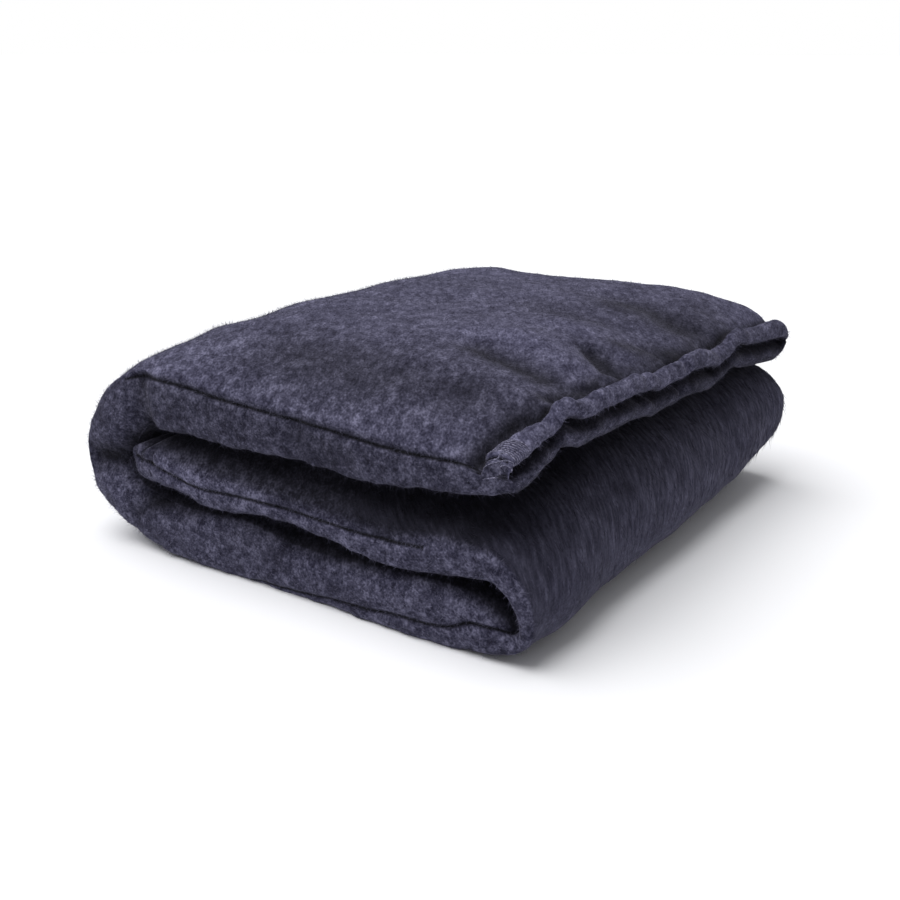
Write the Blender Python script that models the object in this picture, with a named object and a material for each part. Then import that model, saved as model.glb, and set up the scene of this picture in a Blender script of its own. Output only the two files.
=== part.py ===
"""A filled wool duvet, folded in three like a letter and lying flat.

Metres, +Z up. The origin is on the surface it lies on, under the middle of its box. X runs along
the strip, from the wide fold on the left to the free hemmed end on the right, and Y runs along the
folds. The duvet is one filled piece: a strip with a face, a back and a sewn edge down each side.
From its inner end it runs right as the middle layer, turns down round the right fold, runs back as
the bottom layer, turns up round the left fold and ends as the top layer, in a rolled hem.
"""

import math
from collections import namedtuple

import bmesh
import bpy
from mathutils import Vector

MM = 0.001

# Driving dimensions
DEPTH = 0.526  # from side edge to side edge, along the folds
HEM_WIDTH = 0.026  # rolled hem at the outer end
HEM_RISE = 0.003  # how far the roll stands over the face beside it
HEM_CREASE = 0.005  # stitched crease behind the roll
CREASE_REACH = 0.0065  # how wide that crease opens
MOUTH_DEPTH = 0.016  # crease between the roll and the back's lip
SEAM_INSET = 0.006  # side seam, in from the edge, on the face
SEAM_CREASE = 0.0015  # how deep the seam draws the face in
BACK_ROUND = 0.016  # how far in from its side edges the back rounds over
FACE_ROUND = 0.009  # the same on the face, which the seam keeps square
INNER_FACE_ROUND = 0.020  # and where the face is loose, on the middle layer
INNER_ROWS = (5.0, 9.0)  # rows of the course between which the face tightens
END_ROUND = 0.016  # how far from the inner end the thickness closes
END_SHARE = 0.55  # the share of the thickness left at that end
DRAW_IN = 0.005  # how far the side edges are drawn in between the folds
DRAW_TURN = 1.7  # how quickly that comes and goes, in radians for each row of the course
CROWN_POWER = 3.6  # how late the filling thins towards the side edges
ROUND_POWER = 2.6  # how square the side edges are
LIP_POWER = 4  # how late the ends' lips close towards the side edges

# How fine the solid is
STEPS_PER_ROW = 3
EDGE_INSETS = (0.0, 0.002, SEAM_INSET, 0.013, 0.027)
INNER_SPANS = 9
SLOPE_STEP = 0.02  # in rows of the course, to read its direction

WOOL_COLOUR = (0.055, 0.055, 0.095, 1.0)

# The strip's course in millimetres, from its inner end to its hem: where the middle of its thickness
# lies and half that thickness, midway between the side edges, at the near edge and at the far edge.
Row = namedtuple("Row", "name mid_x mid_z mid_half near_x near_z near_half far_x far_z far_half")
COURSE = [
    Row("inner end", -168, 92, 13, -184, 82, 12, -176, 90, 13),
    Row("middle layer 1", -135, 94, 26, -155, 83, 18, -140, 90, 22),
    Row("middle layer 2", -70, 95, 29, -95, 81, 18, -80, 91, 24),
    Row("middle layer 3", 0, 95, 30, -30, 78, 17, -10, 91, 24),
    Row("middle layer 4", 65, 94, 30, 35, 70, 15, 55, 91, 24),
    Row("middle layer 5", 125, 94, 29, 100, 66, 16, 118, 94, 25),
    Row("right fold 1", 170, 93, 27, 165, 73, 15, 170, 98, 25),
    Row("right fold 2", 203, 85, 25, 208, 72, 10, 204, 98, 24),
    Row("right fold 3", 217, 64, 24, 232, 47, 9, 219, 82, 23),
    Row("right fold 4", 202, 41, 25, 220, 20, 10, 205, 50, 23),
    Row("bottom layer 1", 165, 30, 30, 176, 23, 23, 168, 33, 27),
    Row("bottom layer 2", 120, 30, 32, 120, 23, 24, 118, 29, 29),
    Row("bottom layer 3", 62, 30, 32, 62, 21, 22, 60, 29, 29),
    Row("bottom layer 4", 0, 30, 32, 4, 20, 21, 0, 29, 29),
    Row("bottom layer 5", -66, 30, 32, -58, 25, 26, -65, 29, 29),
    Row("bottom layer 6", -138, 32, 31, -130, 27, 26, -133, 31, 28),
    Row("left fold 1", -194, 53, 28, -191, 44, 25, -190, 53, 26),
    Row("left fold 2", -214, 98, 28, -225, 78, 25, -212, 96, 26),
    Row("left fold 3", -196, 143, 29, -188, 133, 26, -190, 141, 26),
    Row("top layer 1", -140, 164, 31, -136, 142, 26, -133, 160, 28),
    Row("top layer 2", -68, 166, 32, -68, 138, 24, -68, 162, 28),
    Row("top layer 3", 2, 166, 32, 2, 138, 20, 2, 163, 28),
    Row("top layer 4", 70, 167, 32, 70, 136, 19, 68, 165, 28),
    Row("top layer 5", 135, 166, 29, 130, 135, 17, 130, 165, 28),
    Row("top layer 6", 186, 162, 21, 178, 137, 15, 190, 162, 23),
    Row("outer end", 217, 160, 15, 211, 145, 14, 231, 147, 14),
]
COURSE_MIDDLE = -3.4  # the X in the course, in millimetres, that comes to lie over the origin
LAST = len(COURSE) - 1

# The closing of the outer end, from the face round to the back: how far each line of points lies
# beyond the last section, and how high, as a share of the half thickness.
Lip = namedtuple("Lip", "beyond height")
HEM_LIPS = [
    Lip(0.004, 0.75),
    Lip(0.004, 0.30),
    Lip(-MOUTH_DEPTH, -0.05),
    Lip(0.001, -0.45),
    Lip(0.001, -0.75),
]
PLAIN_LIPS = [Lip(0.004, 0.6), Lip(0.006, 0.0), Lip(0.004, -0.6)]


def along_rows(column, place):
    """A column of the course, in metres, at a place from 0 to LAST, on a smooth curve through its rows."""
    row = min(int(place), LAST - 1)
    share = place - row
    before, start, end, after = (
        getattr(COURSE[min(max(i, 0), LAST)], column) * MM for i in range(row - 1, row + 3)
    )
    slope_in = (end - before) / 2
    slope_out = (after - start) / 2
    bend = 3 * (end - start) - 2 * slope_in - slope_out
    twist = 2 * (start - end) + slope_in + slope_out
    return start + slope_in * share + bend * share**2 + twist * share**3


def centre(place, across):
    """The middle of the thickness (x, z) and half of it, where across runs from -1 (near) to 1 (far)."""
    edge = "far" if across > 0 else "near"
    weight = abs(across) ** CROWN_POWER
    x, z, half = (
        (1 - weight) * along_rows(f"mid_{what}", place) + weight * along_rows(f"{edge}_{what}", place)
        for what in ("x", "z", "half")
    )
    return x - COURSE_MIDDLE * MM, z, half


def outward(place, across):
    """The unit direction along the strip, and the one out of its face, both in the X-Z plane."""
    x0, z0, _ = centre(max(place - SLOPE_STEP, 0), across)
    x1, z1, _ = centre(min(place + SLOPE_STEP, LAST), across)
    along = Vector((x1 - x0, 0, z1 - z0)).normalized()
    return along, Vector((-along.z, 0, along.x))


def side_edge(place, side):
    """The Y of a side edge, -1 the near one and 1 the far one: drawn in a little, unevenly."""
    draw = DRAW_IN * (0.5 - 0.5 * math.cos(place * DRAW_TURN + side))
    return side * (DEPTH / 2 - draw)


def rounding(inset, reach):
    """The share of the thickness left at an inset from an edge that rounds over within reach."""
    if inset >= reach:
        return 1.0
    return (1 - (1 - inset / reach) ** ROUND_POWER) ** (1 / ROUND_POWER)


def face_round(place):
    """How far in from its side edges the face rounds over at a place along the strip."""
    start, end = INNER_ROWS
    tight = min(max((place - start) / (end - start), 0.0), 1.0)
    return INNER_FACE_ROUND + (FACE_ROUND - INNER_FACE_ROUND) * tight


def across_lines():
    """Lines along the strip as (side, inset from that side's edge, or share of the width)."""
    lines = [(-1, inset) for inset in EDGE_INSETS]
    lines += [(0, -1 + 2 * i / INNER_SPANS) for i in range(1, INNER_SPANS)]
    lines += [(1, inset) for inset in reversed(EDGE_INSETS)]
    return lines


def line_place(place, side, value):
    """The Y of a line, where it is across from -1 to 1, and its inset from the nearer edge."""
    near, far = side_edge(place, -1), side_edge(place, 1)
    if side:
        y = side_edge(place, side) - side * value
    else:
        y = near + (far - near) * (value + 1) / 2
    return y, 2 * (y - near) / (far - near) - 1, min(y - near, far - y)


def end_share(from_inner, from_outer):
    """The share of the thickness left near the inner end, and the hem's rise and crease at the outer."""
    closing = END_SHARE + (1 - END_SHARE) * rounding(from_inner, END_ROUND)
    crease = math.exp(-(((from_outer - HEM_WIDTH) / CREASE_REACH) ** 2))
    roll = max(0.0, 1 - ((from_outer - HEM_WIDTH / 2) / (HEM_WIDTH / 2)) ** 2)
    return closing, HEM_RISE * roll - HEM_CREASE * crease


def strip_length(place, across):
    """How far along the strip a place is from the inner end, measured on the middle of its thickness."""
    steps = max(1, round(place * STEPS_PER_ROW))
    points = [centre(place * i / steps, across)[:2] for i in range(steps + 1)]
    return sum(math.dist(a, b) for a, b in zip(points, points[1:]))


def face_and_back(place, from_inner, from_outer):
    """The face's and the back's points of one section, from the near side edge to the far one."""
    closing, hem = end_share(from_inner, from_outer)
    face, back = [], []
    for side, value in across_lines():
        y, across, inset = line_place(place, side, value)
        x, z, half = centre(place, across)
        _, out = outward(place, across)
        seam = SEAM_CREASE if side and value == SEAM_INSET else 0.0
        on_face = rounding(inset, face_round(place))
        on_back = rounding(inset, BACK_ROUND)
        middle = Vector((x, y, z))
        face.append(middle + out * ((half * closing + hem) * on_face - seam))
        back.append(middle - out * half * closing * on_back)
    return face, back


def end_lines(face, back, along, lips):
    """The points that close an end, one line for each lip, between its side edges."""
    lines = []
    last = len(face) - 1
    for lip in lips:
        line = []
        for i in range(1, last):
            middle = (face[i] + back[i]) / 2
            half = (face[i] - back[i]) / 2
            spread = 1 - abs(2 * i / last - 1) ** LIP_POWER
            line.append(middle + half * lip.height + along * lip.beyond * spread)
        lines.append(line)
    return lines


def lay_flat(point):
    """Whatever would sink into the surface below is pressed flat on it."""
    return Vector((point.x, point.y, max(point.z, 0.0)))


def add_section(mesh, face, back):
    """One ring of vertices: the face's from near to far, then the back's from far to near."""
    ring = face + back[-2:0:-1]
    return [mesh.verts.new(lay_flat(p)) for p in ring]


def close_end(mesh, ring, count, lines, outer):
    """Close a ring over lines of points that run from its face's half to its back's half."""
    face = ring[:count]
    back = [ring[0]] + [ring[len(ring) - i] for i in range(1, count - 1)] + [ring[count - 1]]
    rows = [face]
    for line in lines:
        rows.append([face[0]] + [mesh.verts.new(lay_flat(p)) for p in line] + [face[-1]])
    rows.append(back)
    for upper, lower in zip(rows, rows[1:]):
        for i in range(count - 1):
            corners = [upper[i], upper[i + 1], lower[i + 1], lower[i]]
            corners = list(dict.fromkeys(corners))
            mesh.faces.new(corners if not outer else corners[::-1])


def duvet_mesh():
    """The whole strip as one closed solid."""
    mesh = bmesh.new()
    places = [i / STEPS_PER_ROW for i in range(LAST * STEPS_PER_ROW + 1)]
    lengths = [strip_length(place, 0.0) for place in places]
    count = len(across_lines())
    rings, sections = [], []
    for place, length in zip(places, lengths):
        section = face_and_back(place, length, lengths[-1] - length)
        sections.append(section)
        rings.append(add_section(mesh, *section))
    for ring, following in zip(rings, rings[1:]):
        for i in range(len(ring)):
            j = (i + 1) % len(ring)
            mesh.faces.new((ring[i], following[i], following[j], ring[j]))
    inner_along = -outward(0, 0)[0]
    outer_along = outward(LAST, 0)[0]
    close_end(mesh, rings[0], count, end_lines(*sections[0], inner_along, PLAIN_LIPS), False)
    close_end(mesh, rings[-1], count, end_lines(*sections[-1], outer_along, HEM_LIPS), True)
    bmesh.ops.triangulate(mesh, faces=mesh.faces[:])
    bmesh.ops.recalc_face_normals(mesh, faces=mesh.faces[:])
    return mesh


def wool():
    """Dark blue-grey brushed wool."""
    material = bpy.data.materials.new("wool")
    material.use_nodes = True
    shader = material.node_tree.nodes["Principled BSDF"]
    shader.inputs["Base Color"].default_value = WOOL_COLOUR
    shader.inputs["Roughness"].default_value = 0.95
    shader.inputs["Metallic"].default_value = 0.0
    return material


def add_duvet():
    mesh = bpy.data.meshes.new("duvet")
    built = duvet_mesh()
    built.to_mesh(mesh)
    built.free()
    mesh.shade_smooth()
    duvet = bpy.data.objects.new("duvet", mesh)
    bpy.context.scene.collection.objects.link(duvet)
    mesh.materials.append(wool())


for old in list(bpy.data.objects):
    bpy.data.objects.remove(old)
add_duvet()
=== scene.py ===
"""The looks of a filled wool duvet that is folded in three like a letter.

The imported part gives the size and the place. The shell repeats the strip's course at a finer step,
with its seams, its gathered hem and the soft folds of its faces. Brushed fibres cover it.
Metres, +Z up, in the part's own frame.
"""

import math
from collections import namedtuple

import bmesh
import bpy
import numpy as np
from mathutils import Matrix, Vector


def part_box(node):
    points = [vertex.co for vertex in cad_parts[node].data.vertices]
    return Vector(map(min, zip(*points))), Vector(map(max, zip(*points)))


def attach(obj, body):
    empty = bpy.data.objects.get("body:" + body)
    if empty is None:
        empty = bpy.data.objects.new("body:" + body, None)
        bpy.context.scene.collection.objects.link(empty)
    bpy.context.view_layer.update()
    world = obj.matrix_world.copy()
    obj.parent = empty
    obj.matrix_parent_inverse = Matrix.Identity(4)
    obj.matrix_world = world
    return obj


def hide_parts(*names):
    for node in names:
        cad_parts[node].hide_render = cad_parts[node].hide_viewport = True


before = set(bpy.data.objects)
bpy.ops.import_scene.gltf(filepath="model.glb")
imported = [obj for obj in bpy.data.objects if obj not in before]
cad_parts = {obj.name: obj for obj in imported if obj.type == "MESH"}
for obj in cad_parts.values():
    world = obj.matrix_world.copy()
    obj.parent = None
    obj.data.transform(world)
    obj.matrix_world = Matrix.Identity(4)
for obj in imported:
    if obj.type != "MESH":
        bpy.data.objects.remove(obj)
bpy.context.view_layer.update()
LOW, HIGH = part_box("duvet")
HALF_DEPTH = (HIGH.y - LOW.y) / 2
MM = 0.001
TINY = 1e-9  # keeps a direction of no length from being divided by zero

# ---- Sizes -------------------------------------------------------------------

ROLL_RADIUS = 0.0082  # rolled hem at the outer end
ROLL_PLACE = 0.0058  # how far in from the last section the middle of the roll lies
ROLL_SINK = 0.0040  # and how far below the face
HEM_WIDTH = ROLL_PLACE + ROLL_RADIUS
ROLL_SPREAD = ((-0.263, 1.55), (-0.238, 1.5), (-0.20, 1.05), (-0.16, 1.0))  # its width, at a Y
ROLL_RIPPLE = 0.08  # how much its fullness ripples
RIPPLE_STEP = 0.0115  # from ripple to ripple
RIPPLE_SHIFT = 2  # how far the ripples shift to and fro, in radians
RIPPLE_DRIFT = 40  # and how quickly, in radians for each metre
HEM_CREASE = 0.0080  # stitched crease behind the roll
CREASE_REACH = 0.0085  # how far behind the roll the face comes up out of it
BACK_ROUND = 0.016  # how far in from its side edges the back rounds over
INNER_BACK_ROUND = 0.007  # and by the inner end
FACE_ROUND = 0.009  # the same on the face, which the seam keeps square
INNER_FACE_ROUND = 0.020  # and where the face is loose, on the middle layer
INNER_ROWS = (5.0, 9.0)  # rows of the course between which the face tightens
INNER_ENDS = 2  # the row by which the inner end's own rounding is over
END_ROUND = 0.006  # how far from the inner end the thickness closes
END_SHARE = 0.86  # the share of the thickness left at that end
DRAW_IN = 0.0025  # how far the side edges are drawn in between the folds
DRAW_TURN = 1.7  # how quickly that comes and goes, in radians for each row of the course
SET_BACK = ((0, 0.001), (5, 0.001), (8, 0.0), (16, 0.0), (18.5, 0.006), (23, 0.006), (25, 0.002))
# How late the filling thins towards the side edges, at rows of the course: early on the middle layer
# and in the right fold, which leaves a hollow inside it.
CROWN_POWERS = ((0, 2.4), (5, 2.6), (8, 2.2), (10, 2.2), (12, 3.0), (16, 3.6))
ROUND_POWER = 2.6  # how square the side edges are
MOUTH_POWER = 14  # how late the hem's mouth closes towards the side edges
SEAM_DEPTH = 0.0030  # how deep a side seam draws the cloth in
SEAM_REACH = 0.0038  # and how wide
SEAM_SEEN = 0.2  # the least strength of a seam whose line shows
FOLD_START = 0.3  # how softly a fold of the top begins and ends, as shares of its length
FOLD_END = 0.18
FOLD_STOP = 0.004  # and how far from the hem's crease
# Uneven waves: their height, their size and the seed of their random draws.
FILLING_LUMPS = ((0.0016, 0.110, 3), (0.0008, 0.045, 5))
WALL_LUMP = (0.0009, 0.018, 7)
SEAM_PUCKER = (0.35, 0.030, 11)  # the height is a share of the seam's depth
RUFFLE_OUT = (0.0016, 0.028, 17)  # on the hem's lip
RUFFLE_UP = (0.0010, 0.022, 19)
COMB_WANDER = (0.0016, 0.032, 23)  # how far the combed pile's strokes wander to the side
RUFFLED_LIPS = ((-0.83, 0.3), (-0.5, 1), (-0.24, 1), (-0.1, 0))  # by a lip's height

THREADS = 11  # turns of yarn over the near end of the rolled hem
THREAD_START = -0.2575  # the Y of the first
THREAD_STEP = 0.0021  # from turn to turn
THREAD_SLANT = 0.0030  # how far each leans along the hem on its way over the roll
THREAD_RADIUS = 0.00060
THREAD_SIDES = 6
THREAD_LIPS = 6  # how many lines of the hem's lip each reaches
THREAD_LIFT = 0.3  # how far each stands off the cloth, in radii
THREAD_TAPER = 0.06  # how soon its ends close, in radians of half a wave

WALL_LANES = 16  # lanes on each half of a side wall
FACE_LANES = 142  # lanes across the face between its side walls
BACK_LANES = 66  # and across the back
STATION_STEP = 0.0044  # from section to section along the strip
HEM_STEP = 0.0013  # the same by the hem
BY_HEM = 0.045  # which is this close to the outer end
INNER_STEP = 0.0028  # and by the inner end
BY_INNER = 0.025
COURSE_SAMPLES = 4001  # along the course, to measure its length
INNER_HEM = 0.015  # from the inner end to the stitched line across its face
INNER_CREASE = 0.0030  # how deep that line lies
INNER_REACH = 0.004  # and how wide
# How far the combed pile leans to the near side for each step along the strip, at a place along it
COMB_LEANS = ((4.5, 0.95), (6.0, 0.85), (7.2, 0.55), (8.2, 0.32), (10.0, 0.22))
SLOPE_STEP = 0.02  # in rows of the course, to read its direction
WAVE_COUNT = 14  # plain waves that make up an uneven one
WAVE_SIZES = (0.7, 1.6)  # their sizes, as shares of the uneven one's
WAVE_SPREAD = 1.5  # and what brings their sum to about 1

# The strip's course in millimetres, from its inner end to its hem: where the middle of its thickness
# lies and half that thickness, midway between the side edges, at the near edge and at the far edge.
Row = namedtuple("Row", "name mid_x mid_z mid_half near_x near_z near_half far_x far_z far_half")
COURSE = [
    Row("inner end", -168, 92, 15, -184, 84, 15, -176, 90, 14),
    Row("middle layer 1", -135, 94, 28, -155, 81, 17, -140, 90, 24),
    Row("middle layer 2", -70, 95, 29, -95, 74, 20, -80, 91, 24),
    Row("middle layer 3", 0, 95, 30, -30, 75, 14.5, -10, 91, 24),
    Row("middle layer 4", 65, 94, 30, 35, 73, 15, 55, 91, 24),
    Row("middle layer 5", 125, 94, 29, 100, 66, 16, 118, 94, 25),
    Row("right fold 1", 170, 93, 27, 165, 73, 15, 170, 98, 25),
    Row("right fold 2", 203, 85, 25, 208, 72, 10, 204, 98, 24),
    Row("right fold 3", 217, 64, 24, 232, 47, 9, 219, 82, 23),
    Row("right fold 4", 210, 37, 25, 225, 19, 10, 205, 52, 22),
    Row("bottom layer 1", 172, 29, 29, 176, 23, 23, 168, 33, 27),
    Row("bottom layer 2", 120, 30, 32, 120, 23, 24, 118, 29, 29),
    Row("bottom layer 3", 62, 30, 32, 62, 21, 22, 60, 29, 29),
    Row("bottom layer 4", 0, 30, 32, 4, 20, 21, 0, 29, 29),
    Row("bottom layer 5", -66, 30, 32, -58, 25, 26, -65, 29, 29),
    Row("bottom layer 6", -138, 32, 31, -132, 24, 23, -133, 31, 28),
    Row("left fold 1", -194, 53, 28, -196, 41, 23, -190, 53, 26),
    Row("left fold 2", -214, 98, 28, -230, 75, 27, -212, 96, 26),
    Row("left fold 3", -197, 144, 31, -191, 134, 26, -190, 142, 27),
    Row("top layer 1", -140, 165, 32, -136, 142, 26, -133, 161, 29),
    Row("top layer 2", -68, 166, 32, -68, 138, 24, -68, 162, 28),
    Row("top layer 3", 2, 166, 32, 2, 136, 22, 2, 163, 28),
    Row("top layer 4", 70, 167, 32, 70, 133, 22, 68, 165, 28),
    Row("top layer 5", 135, 166, 29, 130, 135, 17, 130, 165, 28),
    Row("top layer 6", 186, 161, 21, 178, 138, 16, 190, 161, 24),
    Row("outer end", 219, 153, 17.5, 213, 146, 13, 231, 149, 17),
]
COURSE_MIDDLE = -3.4  # the X in the course, in millimetres, that comes to lie over the origin
LAST = len(COURSE) - 1
TABLE = {name: np.array([getattr(row, name) for row in COURSE]) * MM for name in Row._fields[1:]}

# The outline of the outer end, from the face round the rolled hem, into the mouth under it and
# round the back's soft lip: how far beyond the last section, and how high, as a share of the half
# thickness.
Lip = namedtuple("Lip", "beyond height")
HEM_LIPS = [
    Lip(0.0018, 0.88),
    Lip(0.0030, 0.76),
    Lip(0.0030, 0.63),
    Lip(0.0018, 0.50),
    Lip(-0.0008, 0.39),
    Lip(-0.0045, 0.31),
    Lip(-0.0090, 0.26),
    Lip(-0.0140, 0.21),
    Lip(-0.0175, 0.13),
    Lip(-0.0180, 0.02),
    Lip(-0.0155, -0.07),
    Lip(-0.0110, -0.12),
    Lip(-0.0065, -0.14),
    Lip(-0.0020, -0.17),
    Lip(0.0012, -0.24),
    Lip(0.0030, -0.36),
    Lip(0.0034, -0.52),
    Lip(0.0024, -0.68),
    Lip(0.0006, -0.83),
]
PLAIN_LIPS = [
    Lip(0.0016, 0.93),
    Lip(0.0030, 0.74),
    Lip(0.0036, 0.42),
    Lip(0.0038, 0.0),
    Lip(0.0036, -0.42),
    Lip(0.0030, -0.74),
    Lip(0.0016, -0.93),
]

# The gathers of the hem, in millimetres: at a Y, how far the end is lifted and pushed out, and how
# full the roll is there.
Gather = namedtuple("Gather", "y lift push fullness")
GATHERS = [
    Gather(-263, 1, 3, 1.15),
    Gather(-240, 4, 3, 1.15),
    Gather(-222, 6.5, 1.5, 1.05),
    Gather(-206, 8, -1, 0.88),
    Gather(-193, 7, -3, 0.66),
    Gather(-184, 8.5, -4, 0.78),
    Gather(-176, 14.5, -4, 0.98),
    Gather(-167, 13.5, -2, 1.10),
    Gather(-156, 8.5, 0, 0.92),
    Gather(-140, 7, 0, 0.86),
    Gather(-124, 8, 0, 1.0),
    Gather(-106, 7, 0, 0.92),
    Gather(-75, 7, 1, 1.0),
    Gather(-60, 6, 0, 1.20),
    Gather(-50, 3.5, -1, 0.90),
    Gather(-38, 3, 0, 1.08),
    Gather(-22, -1, 0, 0.80),
    Gather(0, 0, 0, 0.95),
    Gather(22, -0.5, 1, 1.0),
    Gather(31, -3.5, -3, 0.62),
    Gather(43, 0, 0, 1.18),
    Gather(72, -1.5, 0, 1.1),
    Gather(88, -3.5, 1, 0.85),
    Gather(103, -6, 1, 0.6),
    Gather(128, -3, 1, 0.72),
    Gather(149, 3.5, 0, 1.05),
    Gather(164, 3.5, -1, 1.12),
    Gather(178, 0.5, -1, 0.85),
    Gather(205, -2, 0, 1.0),
    Gather(240, -3, 0, 1.15),
    Gather(263, -4, 0, 1.15),
]
GATHER_REACH = 0.085  # how far in from the hem its lift fades away

# Soft folds of the top face, in millimetres: from one point to another, how wide and how high.
Fold = namedtuple("Fold", "name x0 y0 x1 y1 width height")
FOLDS = [
    Fold("trough to the first gather", 60, -86, 190, -132, 19, -5.5),
    Fold("near ridge before it", 40, -140, 178, -176, 19, 3.0),
    Fold("far ridge beyond it", 80, -42, 186, -88, 19, 3.5),
    Fold("hollow behind the near hem", 186, -256, 198, -190, 11, -9.0),
    Fold("hollow behind the first gather", 197, -164, 203, -104, 10, -6.0),
    Fold("hollow behind the second gather", 160, -26, 204, -64, 13, -9.0),
    Fold("ridge to the third gather", 92, 14, 192, -8, 15, 3.0),
    Fold("trough beyond that ridge", 50, 62, 200, 44, 20, -3.5),
    Fold("far trough", 70, 170, 192, 116, 26, -6.0),
    Fold("near dip", -60, -160, 70, -190, 40, -2.0),
    Fold("near rise", 60, -225, 150, -228, 26, 1.5),
    Fold("rise by the left fold", -180, -60, -120, 60, 40, 1.8),
]

# Where the side seam runs up its wall at a place along the strip, from -90 at the back's shoulder to
# 90 at the face's, in degrees, and how strongly it draws in there.
SeamPoint = namedtuple("SeamPoint", "place turn strength")
NEAR_SEAM = [
    SeamPoint(0, 25, 1.0),
    SeamPoint(1, 14, 1.0),
    SeamPoint(2, 2, 1.0),
    SeamPoint(3, 8, 0.9),
    SeamPoint(4, 12, 0.9),
    SeamPoint(5, 34, 0.7),
    SeamPoint(6, 20, 0.0),
    SeamPoint(8.5, -89, 0.0),
    SeamPoint(8.8, -88, 0.8),
    SeamPoint(9.15, -66, 1.0),
    SeamPoint(9.6, -20, 1.1),
    SeamPoint(10.2, 8, 1.1),
    SeamPoint(11, 13, 1.1),
    SeamPoint(12, 27, 1.0),
    SeamPoint(13, 44, 1.0),
    SeamPoint(14, 66, 0.0),
    SeamPoint(18.05, 54, 0.0),
    SeamPoint(18.4, 51, 1.2),
    SeamPoint(23, 48, 1.0),
    SeamPoint(25, 55, 1.0),
]
FAR_SEAM = [
    SeamPoint(0, 30, 1.0),
    SeamPoint(5, 45, 1.0),
    SeamPoint(10, 60, 1.0),
    SeamPoint(14, 66, 1.0),
    SeamPoint(18.5, 52, 1.0),
    SeamPoint(25, 52, 1.0),
]

# Pleats where the strip turns: at a place along it, on one side, how deep and wide, and how far it
# runs in over the face.
Pleat = namedtuple("Pleat", "place side depth width reach")
PLEATS = [
    Pleat(16.85, -1, 0.0045, 0.008, 0.030),
    Pleat(17.1, 1, 0.0050, 0.010, 0.080),
    Pleat(9.0, -1, 0.0030, 0.010, 0.050),
    Pleat(18.2, -1, 0.0025, 0.012, 0.050),
]

# Where the near wall is pinched in or pushed out, in millimetres of the course: from one point to
# another, how wide and how deep.
Dent = namedtuple("Dent", "name x0 z0 x1 z1 width depth")
DENTS = [
    Dent("pinch of the left fold", -240, 76, -196, 84, 12, 10.5),
    Dent("valley under the left corner", -170, 160, -166, 124, 12, 6.0),
    Dent("pinch over the bottom layer", -184, 34, -136, 60, 8, 5.5),
    Dent("hollow below the inner end", -168, 52, -116, 53, 10, 8.5),
    Dent("hollow behind the inner end", -194, 92, -186, 70, 8, 7.0),
    Dent("hollow over the inner end", -190, 104, -168, 114, 8, 7.0),
    Dent("lobe under the pinch", -224, 58, -206, 46, 12, -3.0),
    Dent("hem of the inner end", -157, 101, -158, 88, 2.2, 3.5),
    Dent("lobe of the inner end", -142, 90, -100, 86, 10, -3.0),
    Dent("slack of the top layer", 10, 142, 60, 132, 13, 3.0),
    Dent("slack of the bottom layer", -60, 40, -10, 36, 16, 3.0),
]

# ---- Painted light and shade, and flecks -------------------------------------

# How much painted light and shade lighten or darken the wool.
# painted light over the whole top face, which the light from above falls on
TOP_PAINTED_LIGHT = 1.13
WALL_PAINTED_SHADES = (  # painted light and shade on the side walls, at rows of the course
    (0, 0.74),
    (0.8, 0.80),
    (1.3, 1.08),
    (5, 1.0),
    (8, 0.86),
    (11, 0.92),
    (16, 0.90),
    (17.5, 0.86),
    (19, 0.66),
    (25, 0.76),
)
INNER_PAINTED_SHADE = 0.26  # painted shade on the faces that lie inside the folds
INNER_END_PAINTED_SHADES = ((0.004, 1.0), (0.018, INNER_PAINTED_SHADE))  # painted shade on the inner end, darker further in from its side edges
PILE_PAINTED_SHADE = 0.75  # painted shade on the combed pile of the right fold, the side that faces away from the light
OVERHUNG_PAINTED_SHADOW = 0.68  # and painted shadow where the hem hangs over it
UNDER_PAINTED_SHADOW = 0.45  # painted shadow on the middle layer's near edge above its seam, where the top layer overhangs it
SHOULDER_PAINTED_SHADE = 0.48  # painted shade where the back rounds over at the near side edge
HEM_PAINTED_LIGHT = ((-0.263, 1.40), (-0.17, 1.20), (0, 1.02), (0.263, 0.88))  # painted light on the roll, lightest at its near end, by its Y
# painted shade on the hem's lip, darkest in the mouth under the roll, by a lip's height
LIP_PAINTED_SHADES = ((-0.6, 0.62), (-0.30, 0.48), (-0.14, 0.20), (0.30, 0.16), (0.52, 0.8), (0.66, 1.0))
DENT_PAINTED_SHADE = 78.0  # painted shade: how much darker for each metre that the near wall is pinched in
FOLD_PAINTED_SHADING = 38.0  # painted light and shade: how much lighter for each metre that a soft fold lifts the cloth, and darker where it sinks
LEAST_PAINTED_SHADE = 0.2  # which is as dark as the painted shade of such a pinch leaves it
CREASE_SHADE = 0.35  # how much of the way from the hem's line counts behind the roll, which spreads the line's dark there as painted shade in the roll's crease

# How strongly the wool is flecked.
TOP_FLECKS = ((0, 1.0), (0.2, 0.85), (0.5, 0.75), (1, 0.75))  # from the near edge to the far one
SIDE_FLECK = 1.12
PILE_FLECK = 0.6
HEM_FLECK = 0.9

# Where each finish lies along the strip, in rows of the course: from, to, and how softly.
TOP_ROWS = (18.5, 25, 1.0)
TOP_FUZZ_ROWS = (18.3, 25.0, 0.4)
LEFT_FUZZ_ROWS = (15.3, 18.3, 0.4)
PILE_ROWS = (4.6, 10.2, 0.5)
OVERHUNG_ROWS = (4, 7.2, 1.0)
UNDER_ROWS = (1.6, 5.0, 0.8)
ENCLOSED_ROWS = (-1, 6.3, 0.6)
FOLD_ROWS = (18.5, 1.5)  # from, and how softly

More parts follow.
